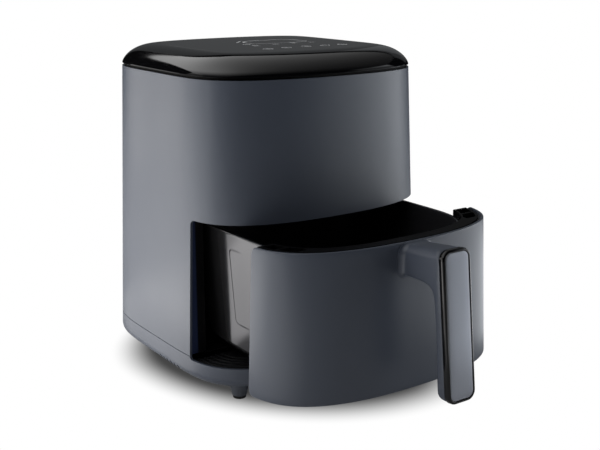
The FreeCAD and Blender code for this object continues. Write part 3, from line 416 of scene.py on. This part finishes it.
thin += [circle(-20.5, -1.0, 3.2), bar(-20.5, -1.0, -20.5, 1.2), bar(-20.5, -1.0, -18.9, -1.0)]
v1, f1 = strokes(thin, 1.0, LID_TOP - 0.03, LID_TOP + 0.02)
v2, f2 = strokes(bold, 1.9, LID_TOP - 0.03, LID_TOP + 0.02)
o_ = len(v1)
marks = make("panel_marks", v1 + v2, f1 + [tuple(i + o_ for i in q) for q in f2], M["mark_white"], "housing")

# drawer front: one curved wall, ends cut back to a plane, corners and edges rounded
F_LOW, F_HIGH, F_WALL, F_END, F_R = 34.5, 165.0, 2.6, -66.4, 5.0
COLS, ROWS = 220, 30


def front_arc(z, n):
    a, b = 130.99 - 0.033 * z, 136.80 - 0.049 * z
    t_end = math.atan2(-abs(F_END), -a * (1 - abs(F_END / b) ** 5) ** (1 / 2.345))
    m = 700
    t0, t1 = t_end, -math.pi - t_end
    p = plan(a, b, 2.345, 5.0, angles=[t0 + (t1 - t0) * i / m for i in range(m + 1)])
    run = [0.0]
    for i in range(m):
        run.append(run[-1] + math.hypot(p[i][0] - p[i + 1][0], p[i][1] - p[i + 1][1]))
    res, k = [], 0
    for i in range(n + 1):
        u = i / n
        u = u - 0.055 * math.sin(2 * math.pi * u) / math.pi      # closer columns at the ends
        s = min(run[-1] * u, run[-1] - 1e-9)
        while run[k + 1] < s:
            k += 1
        w_ = (s - run[k]) / (run[k + 1] - run[k])
        res.append(tuple(p[k][c] * (1 - w_) + p[k + 1][c] * w_ for c in range(4)))
    return res


table_z = [F_LOW + (F_HIGH - F_LOW) * i / 6 for i in range(7)]
arcs = [front_arc(z, COLS) for z in table_z]


def front_point(col, z):
    u = (z - F_LOW) / (F_HIGH - F_LOW) * 6
    k = min(5, max(0, int(u)))
    w_ = u - k
    return tuple(arcs[k][col][c] * (1 - w_) + arcs[k + 1][col][c] * w_ for c in range(4))


def edge_rows(r=1.0, seg=5):
    """Rounded edge: (inset along the normal, distance from the edge)."""
    return [(r * (1 - math.sin(math.pi / 2 * i / seg)), r * (1 - math.cos(math.pi / 2 * i / seg))) for i in range(seg + 1)]


loops = []
for c in range(COLS + 1):
    y_mid = front_point(c, 100.0)[1]
    e = F_END - y_mid
    trim = F_R - math.sqrt(max(0.0, F_R ** 2 - (F_R - e) ** 2)) if e < F_R else 0.0
    z0, z1 = F_LOW + trim, F_HIGH - trim
    loop = []
    for ins, dz in edge_rows(1.1):                                 # lower outer edge, from the underside out
        loop.append((ins, z0 + dz))
    for i in range(1, ROWS):
        loop.append((0.0, z0 + 1.1 + (z1 - z0 - 2.2) * i / ROWS))
    for ins, dz in reversed(edge_rows(1.1)):
        loop.append((ins, z1 - dz))
    for ins, dz in edge_rows(0.6, 3):
        loop.append((F_WALL - ins, z1 - dz))
    for ins, dz in reversed(edge_rows(0.6, 3)):
        loop.append((F_WALL - ins, z0 + dz))
    ring_ = []
    for ins, z in loop:
        x, y, nx, ny = front_point(c, z)
        ring_.append(((x - ins * nx) * MM, (y - ins * ny + Y_DRAWER) * MM, z * MM))
    loops.append(ring_)
v, f = rings_mesh(loops, cap_first=True, cap_last=True)
front_v = make("drawer_face", v, f, M["body_satin"], "drawer", ("drawer_front",), sharp=45)


# handle: neck and grip as one run of rounded sections
def grip_y(z):
    return -178.3 - (168.7 - z) * 0.1115


def rounded_section(o, i, half, r_in, r_out, n=8):
    """Rounded rectangle between an outer and an inner point of the side view."""
    oy, oz = o
    iy, iz = i
    l = math.hypot(oy - iy, oz - iz)
    uy, uz = (oy - iy) / l, (oz - iz) / l
    r_in = min(r_in, 0.4 * l, half - 0.01)
    r_out = min(r_out, 0.58 * l, half - 0.01)
    pts = []
    for cx, cv, a0, r in ((half - r_out, l - r_out, 0.0, r_out), (-half + r_out, l - r_out, 90.0, r_out), (-half + r_in, r_in, 180.0, r_in), (half - r_in, r_in, 270.0, r_in)):
        for k in range(n + 1):
            a = math.radians(a0 + 90.0 * k / n)
            pts.append((cx + r * math.cos(a), cv + r * math.sin(a)))
    return [(x * MM, (iy + uy * w_ + Y_DRAWER) * MM, (iz + uz * w_) * MM) for x, w_ in pts]


def neck_top(y):
    return 161.4 + (-112.0 - y) * 0.1113


SET = 5.2        # front of the shell behind the front of the grip
secs = []
FR = 5.5
for d in (-2.0, 0.0, 0.12, 0.35, 0.7, 1.2, 1.8, 2.6, 3.5, 4.5, 5.5):
    g = FR - math.sqrt(max(0.0, FR ** 2 - (FR - max(d, 0.0)) ** 2))
    y = -129.5 - d
    secs.append(((y, neck_top(y) + 0.28 * g), (y, 137.7 - g), 15.3 + g, 3.0 + 0.6 * g, 8.0 + 0.7 * g))
ctrl = [(-139.0, neck_top(-139.0), -139.0, 137.7, 8.0), (-146.6, neck_top(-146.6), -146.6, 137.7, 8.1), (-153.5, neck_top(-153.5), -152.8, 137.6, 8.2),
        (-159.5, neck_top(-159.5), -158.7, 137.0, 8.3), (-164.6, neck_top(-164.6), -162.4, 135.7, 8.3), (-168.4, 167.45, -165.4, 133.7, 7.6), (-171.2, 166.3, -167.7, 130.8, 5.8),
        (-172.8, 164.0, -169.4, 127.2, 3.6), (grip_y(159.0) + SET, 159.0, -170.6, 122.6, 1.7), (grip_y(147.0) + SET, 147.0, -171.3, 117.4, 1.2), (grip_y(128) + SET, 128.0, -171.8, 110.5, 1.2),
        (grip_y(108) + SET, 108.0, -172.7, 99.0, 1.2), (grip_y(86) + SET, 86.0, -173.9, 81.0, 1.2), (grip_y(67) + SET, 67.0, -175.1, 65.0, 1.2), (grip_y(56) + SET, 56.0, -175.9, 55.5, 1.2)]


def catmull(p0, p1, p2, p3, t):
    return tuple(0.5 * (2 * b + (c - a) * t + (2 * a - 5 * b + 4 * c - d) * t * t + (3 * b - a - 3 * c + d) * t ** 3) for a, b, c, d in zip(p0, p1, p2, p3))


flat = [secs[-2][0] + secs[-2][1] + (8.0,), secs[-1][0] + secs[-1][1] + (8.0,)] + ctrl
for k in range(1, len(flat) - 1):
    nxt = flat[k + 2] if k + 2 < len(flat) else flat[k + 1]
    for t in (0.2, 0.4, 0.6, 0.8, 1.0):
        q = catmull(flat[k - 1], flat[k], flat[k + 1], nxt, t)
        secs.append((q[:2], q[2:4], 15.3, 3.0, q[4]))
for zo, yi, zi, half in ((50.0, -176.4, 50.2, 15.3), (47.5, -176.8, 47.7, 15.2), (45.6, -177.7, 45.7, 14.8), (44.2, -179.0, 44.2, 14.1), (43.3, -180.6, 43.3, 13.1), (42.8, -182.2, 42.85, 11.5)):
    secs.append(((grip_y(zo) + SET, zo), (yi, zi), half, 3.0, 1.2))
v, f = rings_mesh([rounded_section(*s_) for s_ in secs], cap_first=True, cap_last=True)
shell_v = make("handle_body", v, f, M["body_satin"], "drawer", ("handle_shell",), sharp=60)

TILT = math.atan(0.1115)


def plate_ring(half, z0, z1, r, inset, depth, n=12):
    """Rounded rectangle on the leaning front of the grip."""
    h = (z1 - z0) / math.cos(TILT)
    a, b, r = half - inset, h - inset, max(0.4, r - inset)
    pts = []
    for cx, cv, a0 in ((a - r, b - r, 0.0), (-a + r, b - r, 90.0), (-a + r, inset + r, 180.0), (a - r, inset + r, 270.0)):
        for k in range(n + 1):
            t = math.radians(a0 + 90.0 * k / n)
            pts.append((cx + r * math.cos(t), cv + r * math.sin(t)))
    by = grip_y(z0) + SET
    res = []
    for x, w_ in pts:
        y = by + w_ * math.sin(TILT) - depth * math.cos(TILT)
        z = z0 + w_ * math.cos(TILT) + depth * math.sin(TILT)
        res.append((x * MM, (y + Y_DRAWER) * MM, z * MM))
    return res


prof = [(0.0, 0.03), (0.0, 1.6), (0.0, 3.3), (0.12, 3.85), (0.42, 4.32), (0.85, 4.66), (1.35, 4.84), (1.7, 4.88), (2.3, 4.87), (2.6, 4.76), (2.8, 4.5), (2.86, 4.1), (2.86, 3.22)]
v, f = rings_mesh([plate_ring(15.3, 40.5, 168.6, 8.5, i, d) for i, d in prof], cap_first=True, cap_last=True)
bezel_v = make("handle_frame", v, f, M["bezel_gloss"], "drawer", ("handle_bezel",), sharp=50)
prof = [(0.0, 3.24), (0.0, 4.3), (0.1, 4.62), (0.34, 4.86), (0.7, 4.98), (1.4, 5.04), (3.0, 5.12), (5.5, 5.2), (8.0, 5.25), (10.5, 5.26)]
v, f = rings_mesh([plate_ring(12.4, 43.3, 166.0, 5.8, i, d) for i, d in prof], cap_first=True, cap_last=True)
insert_v = make("handle_inlay", v, f, M["inlay_satin"], "drawer", ("handle_insert",), sharp=50)

# pot: pressed sheet with a chamfered foot, rolled rim and a raised field on each side


def pot_size(z):
    if z <= 46.0:
        w_ = max(0.0, (z - 37.0) / 9.0)
        return 84.0 + 9.0 * w_, 91.5 + 9.0 * w_
    w_ = (z - 46.0) / 113.5
    return 93.0 + 9.5 * w_, 100.5 + 9.5 * w_


extra = []
for y0 in (-62.0, 6.0):
    for i in range(-7, 8):
        extra += [math.atan2(y0 + 0.42 * i, 98.0) % (2 * math.pi), math.atan2(y0 + 0.42 * i, -98.0) % (2 * math.pi)]
POT_ANG = sorted(set([round(a, 6) for a in even_angles(220)] + [round(a, 6) for a in extra]))


def field(y, z):
    """1 on the raised field of the side wall, 0 off it; it runs out into the wall towards the front."""
    qx, qz = abs(y + 28.0) - 34.0 + 5.0, abs(z - 107.0) - 36.0 + 5.0
    d = math.hypot(max(qx, 0.0), max(qz, 0.0)) + min(max(qx, qz), 0.0) - 5.0
    t = min(1.0, max(0.0, 0.5 - d / 1.5))
    u = min(1.0, max(0.0, (y + 20.0) / 22.0))
    return t * t * (3 - 2 * t) * u * u * (3 - 2 * u)


def pot_ring(z, inset, press=1.0):
    a, b = pot_size(z)
    res = []
    for x, y, nx, ny in plan(a, b, 2.7, 5.0, inset, angles=POT_ANG):
        e = 0.30 * press * field(y, z) if abs(nx) > 0.75 else 0.0
        res.append(((x + e * nx) * MM, (y + e * ny + Y_DRAWER) * MM, z * MM))
    return res


def scaled(ring_, s_, z):
    return [(x * s_, Y_DRAWER * MM + (y - Y_DRAWER * MM) * s_, z * MM) for x, y, _ in ring_]


wall = [46.6, 47.6, 49.0]
z = 50.0
while z < 157.0:
    near = min(abs(z - 71.0), abs(z - 143.0))
    wall.append(z)
    z += 0.5 if near < 3.2 else (1.6 if near < 12 else 3.2)
foot = [(37.0, 1.2), (37.25, 0.55), (38.0, 0.12), (39.5, 0.0), (42.0, 0.0), (44.6, 0.0), (45.6, 0.06)]
base_ring = pot_ring(37.0, 3.0, 0.0)
rings = [scaled(base_ring, s_, 37.0) for s_ in (0.06, 0.5, 0.9)] + [base_ring]
rings += [pot_ring(z, i, 0.0) for z, i in foot] + [pot_ring(z, 0.0) for z in wall]
rings += [pot_ring(z, i, 0.0) for z, i in ((157.2, 0.0), (157.7, -0.5), (157.9, -1.7), (158.2, -2.2), (158.7, -2.4), (159.2, -2.2), (159.45, -1.7), (159.5, -0.4), (159.4, 0.6), (159.0, 1.05), (158.2, 1.2))]
inner_from = len(rings) - 3
rings += [pot_ring(z, 1.2) for z in reversed(wall)]
rings += [pot_ring(z, i, 0.0) for z, i in ((45.4, 1.5), (42.0, 1.9), (39.5, 2.2), (38.5, 2.9), (38.2, 4.2))]
top_floor = rings[-1]
rings += [scaled(top_floor, s_, 38.2) for s_ in (0.9, 0.5, 0.06)]
v, f = rings_mesh(rings, cap_first=True, cap_last=True)
pot_v = make("pot_sheet", v, f, M["pot_outside"], "drawer", ("pot",), sharp=70)
pot_v.data.materials.append(M["nonstick_coating"])
n_ = len(rings[0])
bands = (len(rings) - 1) * n_
for poly in pot_v.data.polygons:
    if inner_from * n_ <= poly.index < bands or poly.index == bands + 1:
        poly.material_index = 1

# ------------------------------------------------------------------ stage

FLOOR_SHADE = 0.06
SHEET_POWER = 0.68

bpy.ops.mesh.primitive_plane_add(size=40.0, location=(0, 0, 0))
floor = bpy.context.object
floor.name = "floor"
fm = material("floor_white", lin(236, 236, 237), 0.7, spec=0.1, tone=0.004, rough_var=0.02)
fn = fm.node_tree
ftc = fn.nodes.new("ShaderNodeTexCoord")
fsep = fn.nodes.new("ShaderNodeSeparateXYZ")       # painted contact shadow on the floor, an egg shape round the footprint
fn.links.new(ftc.outputs["Object"], fsep.inputs["Vector"])


def egg_side(socket, centre, low, high):
    """Distance from the centre in radii, with one radius below it and another above it."""
    d = fn.nodes.new("ShaderNodeMath")
    d.operation = "SUBTRACT"
    d.inputs[1].default_value = centre
    fn.links.new(socket, d.inputs[0])
    both = []
    for k in (-1.0 / low, 1.0 / high):
        m = fn.nodes.new("ShaderNodeMath")
        m.operation = "MULTIPLY"
        m.inputs[1].default_value = k
        fn.links.new(d.outputs[0], m.inputs[0])
        both.append(m)
    top = fn.nodes.new("ShaderNodeMath")
    top.operation = "MAXIMUM"
    fn.links.new(both[0].outputs[0], top.inputs[0])
    fn.links.new(both[1].outputs[0], top.inputs[1])
    return top.outputs[0]


fxy = fn.nodes.new("ShaderNodeCombineXYZ")
fn.links.new(egg_side(fsep.outputs["X"], 0.040, 0.178, 0.115), fxy.inputs["X"])
fn.links.new(egg_side(fsep.outputs["Y"], 0.085, 0.208, 0.150), fxy.inputs["Y"])
flen = fn.nodes.new("ShaderNodeVectorMath")
flen.operation = "LENGTH"
fn.links.new(fxy.outputs["Vector"], flen.inputs[0])
fade = fn.nodes.new("ShaderNodeMapRange")          # the painted shadow runs out into plain white
fade.interpolation_type = "SMOOTHSTEP"
fade.inputs["From Min"].default_value = 0.86
fade.inputs["From Max"].default_value = 1.14
fn.links.new(flen.outputs["Value"], fade.inputs["Value"])
# painted shadow: camera rays see a dim emission near the footprint and plain white beyond it; other rays see the
# lit floor
shade = fn.nodes.new("ShaderNodeEmission")
shade.inputs["Strength"].default_value = FLOOR_SHADE
plain = fn.nodes.new("ShaderNodeEmission")
plain.inputs["Strength"].default_value = 1.0
painted_shadow_mix = fn.nodes.new("ShaderNodeMixShader")
fn.links.new(fade.outputs["Result"], painted_shadow_mix.inputs[0])
fn.links.new(shade.outputs[0], painted_shadow_mix.inputs[1])
fn.links.new(plain.outputs[0], painted_shadow_mix.inputs[2])
path = fn.nodes.new("ShaderNodeLightPath")
only = fn.nodes.new("ShaderNodeMixShader")
fn.links.new(path.outputs["Is Camera Ray"], only.inputs[0])
fn.links.new(fn.nodes["Principled BSDF"].outputs[0], only.inputs[1])
fn.links.new(painted_shadow_mix.outputs[0], only.inputs[2])
fn.links.new(only.outputs[0], fn.nodes["Material Output"].inputs["Surface"])
dress(floor, fm)

# overhead diffuser: one large sheet, bright at the left rear and falling off to the right front
SHEET_H = 1.037
outline = [(-2.1, -0.9), (-1.7, -1.15), (-1.19, -1.45), (-0.58, -1.85), (-0.2, -1.98), (0.38, -1.98), (0.45, -1.2), (1.2, -1.05), (1.75, -0.6), (1.75, 1.2), (-1.4, 1.2), (-2.1, 0.6)]
dm = bpy.data.meshes.new("diffuser")
dm.from_pydata([(x * SHEET_H, -y * SHEET_H, 0.0) for x, y in outline], [], [tuple(range(len(outline)))])
diffuser = bpy.data.objects.new("diffuser", dm)
scene.collection.objects.link(diffuser)
diffuser.location = (0.0, 0.078, 0.313 + SHEET_H)
dmat = bpy.data.materials.new("diffuser_glow")
dmat.use_nodes = True
dn = dmat.node_tree
dn.nodes.clear()
dtc = dn.nodes.new("ShaderNodeTexCoord")
dot = dn.nodes.new("ShaderNodeVectorMath")
dot.operation = "DOT_PRODUCT"
dot.inputs[1].default_value = (2.35 / SHEET_H, -1.7 / SHEET_H, 0.0)
dn.links.new(dtc.outputs["Object"], dot.inputs[0])
dmr = dn.nodes.new("ShaderNodeMapRange")
dmr.inputs["From Min"].default_value = -4.0
dmr.inputs["From Max"].default_value = 4.0
dn.links.new(dot.outputs["Value"], dmr.inputs["Value"])
ramp = dn.nodes.new("ShaderNodeValToRGB")
levels = [2.0 / (1.0 + math.exp(0.55 - 4.0 + 8.0 * i / 10)) + 0.05 for i in range(11)]
while len(ramp.color_ramp.elements) < 11:
    ramp.color_ramp.elements.new(0.5)
for i, e in enumerate(ramp.color_ramp.elements):
    e.position = i / 10
    e.color = (levels[i] / 2.1, levels[i] / 2.1, levels[i] / 2.1, 1.0)
dn.links.new(dmr.outputs["Result"], ramp.inputs["Fac"])
dem = dn.nodes.new("ShaderNodeEmission")
dem.inputs["Strength"].default_value = 2.1 * SHEET_POWER
dn.links.new(ramp.outputs["Color"], dem.inputs["Color"])
dout = dn.nodes.new("ShaderNodeOutputMaterial")
dn.links.new(dem.outputs[0], dout.inputs["Surface"])
dm.materials.append(dmat)
diffuser.visible_camera = False

w = bpy.data.worlds.new("studio")
scene.world = w
w.use_nodes = True
wn = w.node_tree
wn.nodes.clear()
out = wn.nodes.new("ShaderNodeOutputWorld")
mixw = wn.nodes.new("ShaderNodeMixShader")
lp = wn.nodes.new("ShaderNodeLightPath")
seen = wn.nodes.new("ShaderNodeBackground")
seen.inputs["Color"].default_value = (1, 1, 1, 1)
seen.inputs["Strength"].default_value = 1.0
dim = wn.nodes.new("ShaderNodeBackground")
dim.inputs["Color"].default_value = (0.95, 0.97, 1.0, 1)
dim.inputs["Strength"].default_value = 0.004
wn.links.new(lp.outputs["Is Camera Ray"], mixw.inputs[0])
wn.links.new(dim.outputs[0], mixw.inputs[1])
wn.links.new(seen.outputs[0], mixw.inputs[2])
wn.links.new(mixw.outputs[0], out.inputs["Surface"])


def aim(obj, at):
    d = Vector(at) - obj.location
    obj.rotation_euler = d.to_track_quat("-Z", "Y").to_euler()


def panel(name, loc, at, sx, sy, level):
    """Soft box given by the brightness of its face; the left ones a little warmer than the right ones."""
    l = bpy.data.lights.new(name, "AREA")
    l.color = (1.0, 0.985, 0.965) if loc[0] < 0.0 else (0.93, 0.965, 1.0)
    l.shape = "RECTANGLE"
    l.size, l.size_y = sx, sy
    l.energy = math.pi * sx * sy * level
    o = bpy.data.objects.new(name, l)
    scene.collection.objects.link(o)
    o.location = loc
    aim(o, at)
    o.visible_camera = False
    return o


def standing(name, azimuth, radius, z0, z1, width, level):
    """Soft box standing on a circle round the object; 0 is in front, 90 on the right."""
    a = math.radians(azimuth)
    z = 0.5 * (z0 + z1) + 0.003
    panel(name, (math.sin(a) * radius, 0.04 - math.cos(a) * radius, z), (0.0, 0.04, z), 2.0 * radius * math.tan(math.radians(0.5 * width)), z1 - z0, level)


# low row of soft boxes, the left side and the right front
for az, level in ((-150, 2.65), (-135, 1.2), (-120, 1.5), (-105, 1.1), (-90, 1.25), (45, 2.15), (60, 2.75), (75, 3.75), (90, 0.6)):
    standing("low_%d" % az, az, 1.5, 0.02, 0.5, 15.0, level)
for az, level in ((-120, 1.2), (60, 1.15), (120, 0.09)):
    standing("high_%d" % az, az, 1.5, 0.5, 1.1, 30.0, level)
for az, level in ((-135, 1.05), (-105, 0.85), (-75, 0.45), (75, 0.45)):
    standing("close_%d" % az, az, 0.62, 0.0, 0.2, 30.0, level)
standing("rear", 145, 1.6, 0.32, 1.12, 53.0, 0.09)
# reflector boards lying on the table beside the object
for i, (x, y, level) in enumerate(((-0.45, -0.15, 1.05), (-0.45, 0.20, 2.75), (-0.45, 0.55, 0.75), (0.45, -0.40, 1.6), (0.45, -0.05, 1.6))):
    board = panel("board_%d" % i, (x, y, 0.004), (x, y, 1.0), 0.45, 0.35, level)
    board.rotation_euler = (math.pi, 0.0, 0.0)
strip = panel("strip", (-0.185, 0.19, 0.004), (-0.185, 0.19, 1.0), 0.08, 0.30, 1.3)
strip.rotation_euler = (math.pi, 0.0, 0.0)

cam = bpy.data.cameras.new("camera")
cam.lens = 60.0
cam.sensor_width = 36.0
co = bpy.data.objects.new("camera", cam)
scene.collection.objects.link(co)
co.location = (-0.54608, -0.7562, 0.39111)
co.rotation_euler = (math.radians(90 - 14.7397), 0, math.radians(-35.2509))
scene.camera = co
